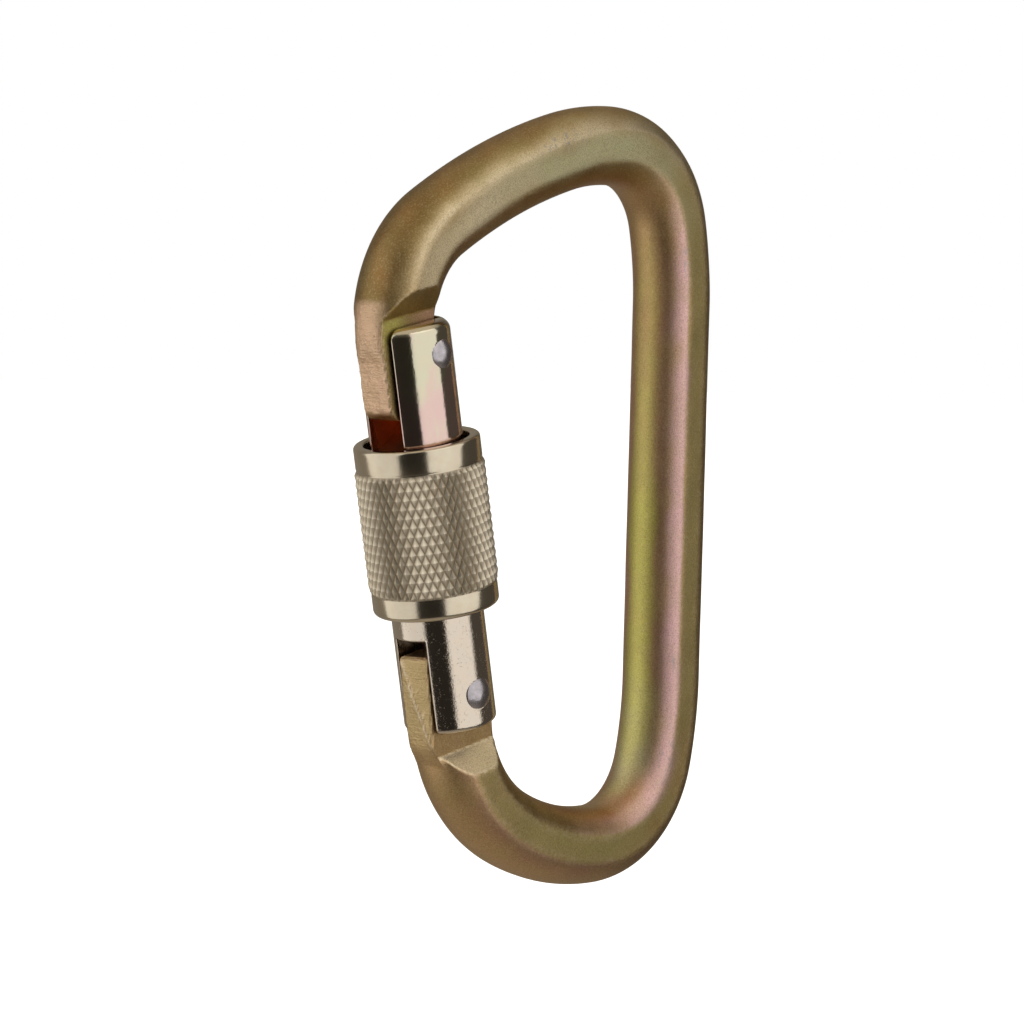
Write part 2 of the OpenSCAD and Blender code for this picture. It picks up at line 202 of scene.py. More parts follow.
# Tang: half thickness, height and slope of its shoulders, forged blade and bore. The cam on its top is an
# involute that rises CAM_LIFT mm for each radian, slightly less than the push rod does.
TANG_HALF, TANG_SHOULDER_U, TANG_SLOPE = 2.45, -8.1, 1.2333
BLADE_OUTER_W, BLADE_INNER_W, BLADE_LOW_U, BLADE_HALF = -6.4, 5.8, -12, 3.2
HINGE_BORE_R = 1.65
CAM_U0, CAM_R, CAM_LIFT, FAR = 6.17, 2, 1.92, 40
CAM_TURN = np.radians(np.arange(0, 31, 3))
CAM_REACH = CAM_U0 + CAM_LIFT * CAM_TURN
CAM_W = np.concatenate(([-FAR], CAM_REACH * np.sin(CAM_TURN) + CAM_R * np.cos(CAM_TURN), [FAR]))
CAM_U = np.concatenate(([CAM_U0], CAM_REACH * np.cos(CAM_TURN) - CAM_R * np.sin(CAM_TURN), [CAM_U0 - 4]))

# Gate: thread, slots, round cutter that leaves the upper slot, chamfer at the top and spring bore
THREAD_LOW, THREAD_HIGH, THREAD_RUNOUT, THREAD_DEPTH = 13.2, 33.4, 1.6, 0.55
UPPER_SLOT_HALF, LOWER_SLOT_HALF, LOWER_SLOT_TOP = 3.1, 2.8, 8.5
CUTTER_W, CUTTER_U, CUTTER_R = -7.7, 47.2, 12.5
TOP_CHAMFER, SPRING_BORE_R = 0.9, 3.6

# This near the gate's axis, the body is nose above this height and tang below it
NOSE_FROM_U, NEAR_GATE_W = 25, 20

# Grid steps, and how far the mesh is smoothed before each of its moves back to the surface
BODY_STEP, GATE_STEP = 0.34, 0.21
SMOOTHING = (0.0, 0.5, 0.35, 0.0)


def nose_ramp(side, u):
    """Distance from the sloping shoulder between the tongue and the bar."""
    return (NOSE_SLOPE * (side - TONGUE_HALF) - (u - NOSE_SHOULDER_U)) / math.hypot(1, NOSE_SLOPE)


def tang_ramp(side, u):
    """Distance from the sloping shoulder between the tang and the bar."""
    return ((u - TANG_SHOULDER_U) + (side - TANG_HALF) * TANG_SLOPE) / math.hypot(1, TANG_SLOPE)


def nose_solid(bar, w, side, u, rough):
    """The bar cut down to the tongue, with its notch for the latch rivet."""
    solid = both(bar, either(side - TONGUE_HALF, nose_ramp(side, u), 0.12), 0.14)
    face = TONGUE_FACE_W - w + rough - 0.3 * np.maximum(u - LATCH_U, 0)
    outline = both(face, TONGUE_END_U - u, 2.2)
    tooth = both(np.minimum(w - TOOTH_W, TOOTH_TOP_U - u), TONGUE_END_U - u, 1.0)
    solid = both(solid, np.where(w < -1.5, outline, tooth), 0.2)
    notch = np.hypot(np.minimum(w - LATCH_W, 0), u - LATCH_U) - NOTCH_R
    return both(solid, -notch, 0.15)


def ridge_distance(y, u):
    """Distance in mm from the forging ridge that runs slantwise down the tang's outer face."""
    return y - 0.8 + 0.36 * (2 - u)


def tang_solid(bar, w, y, u, rough):
    """The bar cut down to the tang, with the cam on its top and the bore for the hinge rivet."""
    side = np.abs(y)
    outer = BLADE_OUTER_W + 0.0046 * (u + 4) ** 2 + 0.12 * np.maximum(-6 - u, 0) ** 2
    inner = BLADE_INNER_W - 0.03 * np.maximum(-4 - u, 0) ** 2
    across = ridge_distance(y, u)
    crease = np.maximum(0.03 * across, -0.22 * across) - 0.16 * bump_curve(across, 0, 0.4)
    half = BLADE_HALF - 0.7 * np.clip((-6.5 - u) / 1.5, 0, 1)
    blade = np.maximum(outer + crease - w, w - inner) + 0.5 * rough
    blade = np.maximum(blade, np.maximum(side - half, BLADE_LOW_U - u))
    cam = (u - np.interp(w, CAM_W, CAM_U)) * 0.98
    solid = both(either(bar, blade, 0.8), either(side - TANG_HALF, tang_ramp(side, u), 0.12), 0.2)
    solid = both(solid, cam, np.where(w < 0, 0.75, 0.25))
    return both(solid, HINGE_BORE_R - np.hypot(w, u), 0.1)


def body_field(p):
    """Signed distance of the body, in mm, from row-frame points."""
    d, _, _ = along_loop(p[:, 0], p[:, 2])
    wave = ripple(p, 9.0, 3)
    side = np.abs(p[:, 1])
    bar = both(np.hypot(d, p[:, 1]) - BAR_R + 0.02 * wave, side - BAR_HALF_FLAT + 0.04 * wave, 0.24)
    w, _, u = to_gate(p)
    rough = 0.06 * ripple(p, 2.0, 11) + 0.04 * ripple(p, 5.0, 12)
    near_gate = np.abs(w) < NEAR_GATE_W
    nose = nose_solid(bar, w, side, u, rough)
    tang = tang_solid(bar, w, p[:, 1], u, rough)
    out = np.where(near_gate & (u > NOSE_FROM_U), nose, bar)
    return np.where(near_gate & (u <= NOSE_FROM_U), tang, out)


def gate_field(q):
    """Signed distance of the gate, in mm, from gate-frame points."""
    w, y, u = q[:, 0], q[:, 1], q[:, 2]
    r = np.hypot(w, y)
    turn = np.arctan2(y, w) / (2 * math.pi)
    tooth = 1 - 2 * np.abs((u / PITCH - turn) % 1 - 0.5)
    fade_in = np.clip((u - THREAD_LOW) / THREAD_RUNOUT, 0, 1)
    fade_out = np.clip((THREAD_HIGH - u) / THREAD_RUNOUT, 0, 1)
    wall = r - GATE_R + THREAD_DEPTH * fade_in * fade_out * np.clip(1.6 * tooth - 0.9, 0, 0.6)
    solid = both(wall, (r + u - (GATE_R + GATE_TOP - TOP_CHAMFER)) / math.sqrt(2), 0.4)
    solid = both(solid, u - GATE_TOP, 0.3)
    solid = both(solid, GATE_LOW - u, 0.7)
    cutter = np.hypot(w - CUTTER_W, u - CUTTER_U) - CUTTER_R
    cutter = np.where(u > CUTTER_U, w - CUTTER_W - CUTTER_R, cutter)
    solid = both(solid, -np.maximum(np.abs(y) - UPPER_SLOT_HALF, cutter), 0.2)
    solid = both(solid, -np.maximum(np.abs(y) - LOWER_SLOT_HALF, u - LOWER_SLOT_TOP), 0.2)
    bore = np.maximum(r - SPRING_BORE_R, np.abs(u - SPRING_TOP / 2) - SPRING_TOP / 2)
    solid = both(solid, -bore, 0.15)
    rivets = ((0, 0, HINGE_PIN_R, 2.0), (LATCH_W, LATCH_U, LATCH_PIN_R, 1.8))
    for inset, height, hole, seat in rivets:
        across = np.hypot(w - inset, u - height)
        solid = both(solid, hole - across, 0.08)
        solid = both(solid, -np.maximum(SEAT_Y - np.abs(y), across - seat), 0.08)
    return solid


def gradient(field, p, h=0.03):
    """Numeric gradient of a field."""
    out = np.empty_like(p)
    for axis in range(3):
        step = np.zeros(3)
        step[axis] = h
        out[:, axis] = (field(p + step) - field(p - step)) / (2 * h)
    return out


def sample(field, low, high, step):
    """The field on a regular grid, one slab of x at a time."""
    axes = [np.arange(low[k], high[k] + step, step) for k in range(3)]
    y, z = (m.ravel() for m in np.meshgrid(axes[1], axes[2], indexing="ij"))
    values = np.empty([len(a) for a in axes], np.float32)
    for i, x in enumerate(axes[0]):
        values[i] = field(np.stack([np.full_like(y, x), y, z], 1)).reshape(values.shape[1:])
    return values


def smooth_over(points, quads, share):
    """Moves each point part of the way to the mean of its neighbours."""
    a = quads.ravel()
    b = np.roll(quads, -1, axis=1).ravel()
    n = len(points)
    count = np.bincount(a, minlength=n) + np.bincount(b, minlength=n)
    mean = np.stack(
        [
            (np.bincount(a, points[b, k], n) + np.bincount(b, points[a, k], n)) / count
            for k in range(3)
        ],
        1,
    )
    return points + share * (mean - points)


def solid_mesh(field, low, high, step):
    """Points, quads and outward normals of a field's zero surface, in mm."""
    low = np.array(low, float)
    values = sample(field, low, high, step)
    grid = openvdb.FloatGrid(3 * step)
    grid.copyFromArray(values)
    points, quads = grid.convertToQuads(0.0)
    points = low + step * points.astype(float)
    quads = quads.astype(np.int64)
    for share in SMOOTHING:
        if share:
            points = smooth_over(points, quads, share)
        for _ in range(3):
            g = gradient(field, points)
            slope = np.maximum((g * g).sum(1), 0.2)
            move = g * (field(points) / slope)[:, None]
            points -= np.clip(move, -step, step)
    g = gradient(field, points)
    normals = g / np.linalg.norm(g, axis=1)[:, None]
    a, b, c = (points[quads[:, k]] for k in (0, 1, 3))
    if (np.cross(b - a, c - a) * normals[quads[:, 0]]).sum() < 0:
        quads = quads[:, ::-1]
    return points, quads, normals


# --------------------------------------------------------------------------------------------------
# Mesh helpers
# --------------------------------------------------------------------------------------------------


def gate_matrix():
    """Gate frame in mm to row frame in metres."""
    place = Matrix.Translation((HINGE[0] * MM, 0, HINGE[1] * MM))
    return place @ Matrix.Rotation(-LEAN, 4, "Y") @ Matrix.Scale(MM, 4)


def new_object(name, points, faces, in_gate=False, normals=None):
    """A smooth-shaded mesh object from points in mm."""
    mesh = bpy.data.meshes.new(name)
    mesh.from_pydata(points, [], faces)
    mesh.transform(gate_matrix() if in_gate else Matrix.Scale(MM, 4))
    mesh.polygons.foreach_set("use_smooth", np.ones(len(mesh.polygons), bool))
    if normals is not None:
        turn = gate_matrix().to_3x3().normalized() if in_gate else Matrix.Identity(3)
        mesh.normals_split_custom_set_from_vertices(normals @ np.array(turn).T)
    mesh.update()
    obj = bpy.data.objects.new(name, mesh)
    bpy.context.scene.collection.objects.link(obj)
    return obj


def add_value(obj, name, values):
    """A value for each vertex, which a material reads by name."""
    obj.data.attributes.new(name, "FLOAT", "POINT").data.foreach_set("value", values.astype(np.float32))


def add_colour(obj, name, colours):
    """A colour for each vertex, which a material reads by name."""
    rgba = np.ones((len(colours), 4), np.float32)
    rgba[:, :3] = colours
    obj.data.attributes.new(name, "FLOAT_COLOR", "POINT").data.foreach_set("color", rgba.ravel())


def ring_faces(rows, columns, closed_rows=False):
    """Quads of a grid of rows that wraps round its columns."""
    i = np.arange(rows if closed_rows else rows - 1)[:, None]
    j = np.arange(columns)[None, :]
    k, l = (i + 1) % rows, (j + 1) % columns
    corners = (i * columns + j, i * columns + l, k * columns + l, k * columns + j)
    return np.stack(np.broadcast_arrays(*corners), -1).reshape(-1, 4)


def corner_arc(centre, r, a0, a1, steps):
    """Points of an arc, as (radius, height), with angles in degrees."""
    return [
        (centre[0] + r * math.cos(math.radians(a)), centre[1] + r * math.sin(math.radians(a)))
        for a in np.linspace(a0, a1, steps)
    ]


def lathe(profile, columns, turn=None):
    """Points and faces of a profile [(radius, height)] turned round z. It starts and ends on the axis."""
    angle = np.arange(columns) * 2 * math.pi / columns
    points = [(0, 0, profile[0][1])]
    for r, z in profile[1:-1]:
        rr = r * (1 if turn is None else turn(angle, z))
        points += list(zip(rr * np.cos(angle), rr * np.sin(angle), np.full(columns, z), strict=True))
    points.append((0, 0, profile[-1][1]))
    rows = len(profile) - 2
    last = len(points) - 1
    faces = [tuple(int(v) + 1 for v in f) for f in ring_faces(rows, columns)]
    for j in range(columns):
        n = (j + 1) % columns
        faces.append((0, 1 + n, 1 + j))
        faces.append((last, 1 + (rows - 1) * columns + j, 1 + (rows - 1) * columns + n))
    return np.array(points), faces


# --------------------------------------------------------------------------------------------------
# Pieces
# --------------------------------------------------------------------------------------------------

# How near a vertex lies to a milled side or shoulder, in mm, to take its colour
ON_FACE, ON_RAMP = 0.06, 0.062

# Film colours of the zinc chromate, with a painted shade colour and a pale straw that is also a painted
# highlight
GOLD = (0.54, 0.385, 0.175)
OLIVE = (0.44, 0.345, 0.145)
BROWN = (0.66, 0.415, 0.225)
BRONZE = (0.50, 0.315, 0.145)
HONEY = (0.42, 0.255, 0.080)
RUST = (0.43, 0.190, 0.055)
ROSE = (0.79, 0.485, 0.530)
WINE = (0.56, 0.310, 0.225)
LEAF = (0.62, 0.600, 0.145)
SAGE = (0.73, 0.735, 0.455)
# Pale straw, also used as a painted highlight on the flats by the nose
STRAW_AND_HIGHLIGHT = (0.92, 0.800, 0.560)
# Painted shade: dark brown laid on the bar where it falls into shade
PAINTED_SHADE = (0.22, 0.150, 0.050)
MOSS = (0.42, 0.280, 0.075)
MEADOW = (0.44, 0.385, 0.140)
TONGUE_TAN = (0.98, 0.690, 0.500)
TANG_OCHRE = (0.70, 0.545, 0.290)

# Where each colour lies: weight, from and to along the bar, softness, angle round the bar, half width.
# Lengths run in mm from the foot of the tang. Angles run in degrees from the inside of the loop (0) over
# the flats (90) to its outside (180).
FILM = (
    (GOLD, 0.4, -40, 260, 5, 180, 999),
    (GOLD, 0.4, -40, 260, 5, 90, 999),
    (BROWN, 1.3, -30, 34, 6, 155, 36),
    (WINE, 2.0, -2, 38, 5, 122, 13),
    (GOLD, 1.5, -10, 8, 4, 150, 24),
    (OLIVE, 0.8, -4, 20, 4, 92, 17),
    (MEADOW, 2.2, 18, 48, 4, 88, 15),
    (HONEY, 2.4, 6, 44, 3, 58, 13),
    (RUST, 2.6, 27, 46, 3, 32, 11),
    (ROSE, 4.6, 42, 134, 3, 64, 15),
    # Painted shade: the next two entries darken the inside of the bottom bend and the inside by the nose
    (PAINTED_SHADE, 3.2, 6, 30, 3, 60, 12),
    (PAINTED_SHADE, 4.0, 196, 212, 2, 52, 20),
    (WINE, 2.6, 41, 51, 2, 20, 26),
    (LEAF, 3.6, 50, 94, 3, 7, 16),
    (LEAF, 1.2, 90, 126, 6, 12, 10),
    (SAGE, 3.6, 48, 60, 3, 12, 17),
    (ROSE, 3.4, 38, 52, 3, 58, 20),
    (WINE, 1.2, 56, 140, 5, 35, 9),
    (MEADOW, 1.0, 60, 140, 5, 90, 12),
    (BRONZE, 1.6, 112, 152, 5, 5, 40),
    (RUST, 0.9, 45, 55, 3, 92, 13),
    (OLIVE, 1.0, 56, 140, 5, 96, 16),
    (SAGE, 3.2, 148, 177, 4, 84, 19),
    # Painted highlight: pale straw on the flats near the nose
    (STRAW_AND_HIGHLIGHT, 2.4, 179, 204, 4, 88, 17),
    (GOLD, 1.2, 200, 260, 5, 90, 19),
    (HONEY, 2.4, 138, 194, 5, 46, 13),
    (WINE, 1.2, 142, 166, 4, 8, 26),
    # Painted highlight: pale straw along the outer edge of the flats
    (STRAW_AND_HIGHLIGHT, 2.0, 150, 202, 6, 116, 20),
    (LEAF, 0.8, 172, 190, 5, 140, 20),
    (WINE, 1.3, 190, 240, 5, 66, 30),
    (RUST, 2.4, 176, 216, 7, 165, 28),
    # Painted shade: the next two entries darken the outside of the top shoulder
    (PAINTED_SHADE, 9.0, 182, 216, 6, 162, 28),
    (PAINTED_SHADE, 1.0, 184, 206, 5, 135, 12),
)


def bar_place(points):
    """Length along the bar in mm, and angle round it in degrees from the inside of the loop."""
    _, inboard, along = along_loop(points[:, 0], points[:, 2])
    return along, np.degrees(np.arctan2(np.abs(points[:, 1]), inboard))


def film_colours(points):
    """Colour of the zinc chromate film, which changes along the bar and round it, with painted shade and
    painted highlights laid into it.
    """
    along, around = bar_place(points)
    flat = soft_step(np.abs(points[:, 1]) - BAR_HALF_FLAT + 0.07, 0.015)
    along = along + 2.5 * ripple(points, 16, 21)
    around = around + 5 * ripple(points, 12, 22) * (1 - 0.6 * flat)
    total = np.zeros(len(points))
    mixed = np.zeros((len(points), 3))
    for k, (colour, weight, start, end, softness, angle, half) in enumerate(FILM):
        share = weight * soft_step(along - start, softness) * soft_step(end - along, softness)
        share *= bump_curve(around, angle, half) * (1 + 0.55 * ripple(points, 6, 40 + k))
        share = np.maximum(share, 0) * (1 - flat if angle < 80 or angle > 100 else 0.15 + 0.85 * flat)
        total += share
        mixed += share[:, None] * colour
    return mixed / total[:, None]


# Rubbed patches: length along the bar, angle round it and half widths of both
SCUFFS = ((57, 62, 4, 9), (70, 62, 3, 6), (130, 66, 3, 6), (168, 118, 4, 12))


def scuff_value(points):
    """Where the bar is rubbed grey: small patches, each at a length along it and an angle round it."""
    along, around = bar_place(points)
    return sum(bump_curve(along, s, ds) * bump_curve(around, phi, dphi) for s, phi, ds, dphi in SCUFFS)


def edge_value(field, points, reach=0.3):
    """How sharply the surface bends outwards: 0 on plain faces to 1 on crisp outer edges."""
    total = -6 * field(points)
    for axis in range(3):
        step = np.zeros(3)
        step[axis] = reach
        total += field(points + step) + field(points - step)
    return np.clip(total / reach**2 / 1.6 - 0.15, 0, 1)


def milled_colours(colours, points, normals):
    """The film's colours, changed on the milled sides and shoulders of the tongue and the tang, with painted
    shade on the tongue's sides in the gate's slot.
    """
    w, _, u = to_gate(points)
    side = np.abs(points[:, 1])
    level = (np.abs(w) < 9) & (np.abs(normals[:, 1]) > 0.5)
    on_tang = level & (np.abs(side - TANG_HALF) < ON_FACE) & (np.abs(u) < 9)
    on_tongue = level & (np.abs(side - TONGUE_HALF) < ON_FACE) & (u > TONGUE_END_U - 0.2)
    on_tang_ramp = level & (np.abs(tang_ramp(side, u)) < ON_RAMP)
    on_nose_ramp = level & (np.abs(nose_ramp(side, u)) < ON_RAMP)
    above = soft_step(u - 49.6, 0.8)
    layers = (
        (on_tang, BRONZE, 1),
        (on_tang_ramp, STRAW_AND_HIGHLIGHT, 1),
        # Painted shade: the tongue's sides, which sit in the gate's slot, are darkened
        (on_tongue, PAINTED_SHADE, 1.3),
        (on_tongue, LEAF, above * bump_curve(w, -4.4, 2.4)),
        (on_tongue, WINE, above * bump_curve(w, 2.5, 3.2)),
        (on_nose_ramp, MOSS, 1),
    )
    for mask, colour, share in layers:
        share = (0.75 * mask * share)[:, None]
        colours = colours * (1 - share) + share * np.array(colour)
    return colours


def trimmed_value(points, normals):
    """1 on the trimmed outer faces of the tongue and the tang, falling to 0 round them."""
    w, _, u = to_gate(points)
    outward = -(normals[:, 0] * math.cos(LEAN) + normals[:, 2] * math.sin(LEAN))
    span = np.where(u > NOSE_FROM_U, soft_step(55.7 - u, 0.5), bump_curve(u, 0, 8))
    return np.clip((outward - 0.75) / 0.2, 0, 1) * np.clip(2.2 * span - 0.55, 0, 1) * (np.abs(w) < 9)


def trimmed_colours(colours, points, trimmed):
    """The film's colours, paler on the trimmed faces and along the forging ridge of the tang."""
    _, y, u = to_gate(points)
    raw = np.where((u > NOSE_FROM_U)[:, None], np.array(TONGUE_TAN), np.array(TANG_OCHRE))
    colours = colours * (1 - 0.88 * trimmed[:, None]) + 0.88 * trimmed[:, None] * raw
    ridge = bump_curve(ridge_distance(y, u) + 0.3 * ripple(points, 1.2, 41), 0, 0.32)
    return colours + (0.35 * trimmed * ridge * (u < 9))[:, None]


def build_body():
    """Forged and milled bar."""
    low, high = (-48.3, -6.2, -101.7), (21.6, 6.2, 12.2)
    points, quads, normals = solid_mesh(body_field, low, high, BODY_STEP)
    obj = new_object("body_forging", points, quads, normals=normals)
    trimmed = trimmed_value(points, normals)
    colours = milled_colours(film_colours(points), points, normals)
    colours = trimmed_colours(colours, points, trimmed)
    # The film colours carry painted shade and painted highlights besides the film's own tints
    add_colour(obj, "film", np.clip(colours, 0, 1))
    add_value(obj, "edge", edge_value(body_field, points))
    add_value(obj, "trimmed", trimmed)
    add_value(obj, "scuff", scuff_value(points))
    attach(obj, "frame")
    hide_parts("body")
    return obj


def build_gate():
    """Slotted gate bar, threaded where the sleeve rides."""
    points, quads, normals = solid_mesh(gate_field, (-7.0, -7.0, -5.4), (7.0, 7.0, 52.4), GATE_STEP)
    obj = new_object("gate_tube", points, quads, in_gate=True, normals=normals)
    add_value(obj, "edge", edge_value(gate_field, points, 0.2))
    r = np.hypot(points[:, 0], points[:, 1])
    # Inside faces of the slots and bore, which the material darkens and tints as painted shade and painted
    # reflection
    add_value(obj, "inside", np.clip((GATE_R - 0.5 - r) / 0.6, 0, 1) * (points[:, 2] < GATE_TOP - 0.3))
    add_value(obj, "height", points[:, 2])
    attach(obj, "gate_assembly")
    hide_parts("gate")
    return obj


# Knurl: diamonds round the sleeve, mesh cells across each, rows of random wear, extent and depth
KNURL_COLUMNS, KNURL_CELLS, WEAR_ROWS = 48, 8, 80
KNURL_LOW, KNURL_HIGH, KNURL_PERIODS = 3.1, 20.3, 6.75
KNURL_ROOT, KNURL_DEPTH = 8.70, 0.36


def sleeve_profile():
    """Sections of the sleeve's outline, as (name, [(radius, height)]), with heights from its low rim."""
    land, band, bore, groove = 6.475, 8.75, 7.3, 7.575
    rows = round(KNURL_PERIODS * KNURL_CELLS)
    heights = np.linspace(KNURL_LOW, KNURL_HIGH, rows + 1)
    low = [(land + 0.5, 0.0), (7.6, 0.0)]
    low += corner_arc((band - 0.75, 0.75), 0.75, -90, 0, 8)
    low += [(band, 1.2), (band, 2.65), (band - 0.03, 2.85), (KNURL_ROOT, 3.0)]
    high = [(KNURL_ROOT, 20.4), (band - 0.03, 20.52), (band, 20.7), (band, 22.9)]
    high += corner_arc((band - 0.5, SLEEVE_LEN - 0.5), 0.5, 0, 90, 7)
    high += corner_arc((bore + 0.3, SLEEVE_LEN - 0.3), 0.3, 90, 180, 5)
    high += [(bore, z) for z in (22.6, 20, 17, 14, 11)]
    high += corner_arc((bore - 0.4, 10.9), 0.4, 0, -45, 3)
    high += [(land + 0.1, 9.85)]
    thread = [(land, z) for z in np.linspace(9.7, 3.0, 28)]
    end = [(land, 2.72), (land + 0.1, 2.6), (groove - 0.1, 2.6), (groove, 2.5), (groove, 1.1)]
    end += [(groove - 0.1, 1.0), (land + 0.1, 1.0), (land, 0.9), (land, 0.55)]
    return [("plain", low), ("knurl", [(KNURL_ROOT, z) for z in heights]), ("plain", high),
            ("thread", thread), ("plain", end)]


def knurl_height(u, v, worn):
    """Height of the knurl from 0 to 1, at u diamonds round and v up. Its points are cut off near the top.

    worn, from -1 to 1, shifts that cut slightly.
    """
    a = 1 - np.abs(2 * ((u + v) % 1) - 1)
    b = 1 - np.abs(2 * ((u - v) % 1) - 1)
    return np.minimum(np.minimum(a, b), 0.93 + 0.04 * worn)


def build_sleeve():
    """Turned sleeve with a diamond knurl, whose grooves follow the mesh's own diagonals."""
    columns = KNURL_COLUMNS * KNURL_CELLS
    angle = np.arange(columns) * 2 * math.pi / columns
    u = np.arange(columns) / KNURL_CELLS
    wear = np.random.default_rng(5).uniform(-1, 1, (WEAR_ROWS, KNURL_COLUMNS))
    radii, heights, kinds = [], [], []
    for kind, rows in sleeve_profile():
        for i, (r, z) in enumerate(rows):
            line = np.full(columns, float(r))
            if kind == "knurl":
                v = i / KNURL_CELLS
                worn = wear[int(i // (KNURL_CELLS / 2)) % WEAR_ROWS, u.astype(int)]
                ease = min(1.0, (z - KNURL_LOW) / 0.5, (KNURL_HIGH - z) / 0.5)
                line += KNURL_DEPTH * ease * knurl_height(u, v, worn)
            if kind == "thread":
                phase = (z + SLEEVE_U) / PITCH - angle / (2 * math.pi)
                line += 0.35 * np.clip(2.4 * np.abs((phase % 1) - 0.5) - 0.5, 0, 0.7) / 0.7
            radii.append(line)
            heights.append(z + SLEEVE_U)
            kinds.append(kind)
    radii, heights = np.array(radii), np.array(heights)
    level = np.broadcast_to(heights[:, None], radii.shape)
    points = np.stack([radii * np.cos(angle), radii * np.sin(angle), level], -1).reshape(-1, 3)
    faces, first = [], kinds.index("knurl")
    for quad in ring_faces(len(heights), columns, closed_rows=True).tolist():
        row, column = divmod(quad[0], columns)
        rising = (row - first - column) % KNURL_CELLS
        falling = (row - first + column + 1) % KNURL_CELLS
        if not (kinds[row] == "knurl" and kinds[(row + 1) % len(kinds)] == "knurl"):
            faces.append(quad)
        elif rising == 0 or (rising < KNURL_CELLS / 2 and falling):
            faces += [[quad[0], quad[1], quad[2]], [quad[0], quad[2], quad[3]]]
        else:
            faces += [[quad[0], quad[1], quad[3]], [quad[1], quad[2], quad[3]]]
    obj = new_object("knurled_sleeve", points, faces, in_gate=True)
    obj.data.set_sharp_from_angle(angle=math.radians(17))
    peak = np.array([[k == "knurl"] * columns for k in kinds]).ravel()
    rise = np.clip((radii.ravel() - KNURL_ROOT) / KNURL_DEPTH, 0, 1)
    add_value(obj, "knurl", np.where(peak, rise, 0.0))
    add_value(obj, "band", np.where(peak, 0.0, 1.0))
    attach(obj, "sleeve")
    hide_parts("locking_sleeve")
    return obj


def build_rivet(name, node, inset, height, pin_r, head_r, seed):
    """Rivet with a peened dome at each end, lying across the gate."""
    rise, edge = 0.9, 0.16
    dome_r = (head_r**2 + (rise - edge) ** 2) / (2 * (rise - edge))
    side = [(0.0, SEAT_Y + rise)]
    for a in np.linspace(6, math.degrees(math.asin((head_r - 0.08) / dome_r)), 9):
        side.append((dome_r * math.sin(math.radians(a)),
                     SEAT_Y + rise - dome_r * (1 - math.cos(math.radians(a)))))
    side += [(head_r, SEAT_Y + edge), (head_r - 0.04, SEAT_Y + 0.03), (head_r - 0.14, SEAT_Y),
             (pin_r, SEAT_Y), (pin_r, SEAT_Y - 0.4), (pin_r, 0.5)]
    profile = [(r, -y) for r, y in side] + side[::-1]
    rng = np.random.default_rng(seed)
    amount, phase = rng.uniform(0.003, 0.008, 4), rng.uniform(0, 6.28, 4)

    def peened(angle, _):
        waves = enumerate(zip(amount, phase, strict=True), start=2)
        return 1 + sum(a * np.sin(k * angle + p) for k, (a, p) in waves)

    points, faces = lathe(profile, 64, peened)
    points = np.stack([points[:, 0] + inset, points[:, 2], -points[:, 1] + height], 1)
    obj = new_object(name, points, faces, in_gate=True)
    obj.data.set_sharp_from_angle(angle=math.radians(40))
    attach(obj, "gate_assembly")
    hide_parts(node)
    return obj


def build_push_rod():
    """Turned plunger: nose on the tang, head in the bore, stem inside the spring."""
    c = 0.2
    profile = [(0, 6.2), (2.6 - c, 6.2), (2.6, 6.2 + c), (2.6, 8.6), (2.7, 8.7), (3.55 - c, 8.7),
               (3.55, 8.7 + c), (3.55, 11.5 - c), (3.55 - c, 11.5), (1.9, 11.5), (1.8, 11.6),
               (1.8, 15.5 - c), (1.8 - c, 15.5), (0, 15.5)]
    points, faces = lathe(profile, 64)
    obj = new_object("plunger", points, faces, in_gate=True)
    obj.data.set_sharp_from_angle(angle=math.radians(30))
    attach(obj, "push_rod_slider")
    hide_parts("push_rod")
    return obj


def build_spring():
    """Coil spring with its end turns closed and ground flat."""
    low, high, wire, coil_r, turns, sides = 11.53, 23.97, 0.4, 2.9, 8, 14
    steps = turns * 40
    t = np.linspace(0, 1, steps + 1) * turns
    ends = 2 * wire / PITCH
    climb = np.where((t < 1) | (t > turns - 1), ends, 1.0)
    rise = np.concatenate([[0], np.cumsum((climb[1:] + climb[:-1]) / 2)])
    rise = (low + wire * 0.8) + (high - low - 1.6 * wire) * rise / rise[-1]
    a = t * 2 * math.pi
    b = np.arange(sides) * 2 * math.pi / sides
    r = coil_r + wire * np.cos(b)[None, :]
    points = np.stack([r * np.cos(a)[:, None], r * np.sin(a)[:, None],
                       rise[:, None] + wire * np.sin(b)[None, :]], -1).reshape(-1, 3)
    points[:, 2] = np.clip(points[:, 2], low, high)
    faces = [tuple(f) for f in ring_faces(steps + 1, sides)[:, ::-1].tolist()]
    faces += [tuple(range(sides)), tuple(steps * sides + k for k in range(sides - 1, -1, -1))]
    obj = new_object("coil_spring", points, faces, in_gate=True)
    obj.data.set_sharp_from_angle(angle=math.radians(50))
    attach(obj, "gate_assembly")
    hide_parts("gate_spring")
    # Slightly more than the rod's travel, so that the two never overlap
    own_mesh(obj)
    return obj


def build_drag_ring():
    """Moulded rubber ring with the faint flash line of its mould."""
    ring_r, section, columns, sides = 6.975, 0.49, 120, 20
    a = np.arange(columns) * 2 * math.pi / columns
    b = np.arange(sides) * 2 * math.pi / sides
    flash = 1 + 0.03 * np.exp(-(((b + 0.6) % math.pi - 0.6) / 0.12) ** 2)
    r = ring_r + (section * flash * np.cos(b))[:, None] * np.ones(columns)
    z = SLEEVE_U + 1.8 + (section * flash * np.sin(b))[:, None] * np.ones(columns)
    points = np.stack([r * np.cos(a), r * np.sin(a), z], -1).reshape(-1, 3)
    faces = [tuple(f) for f in ring_faces(sides, columns, closed_rows=True).tolist()]
    obj = new_object("drag_ring_rubber", points, faces, in_gate=True)
    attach(obj, "drag_ring")
    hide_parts("sleeve_drag_ring")
    return obj


# --------------------------------------------------------------------------------------------------
# Materials
# --------------------------------------------------------------------------------------------------


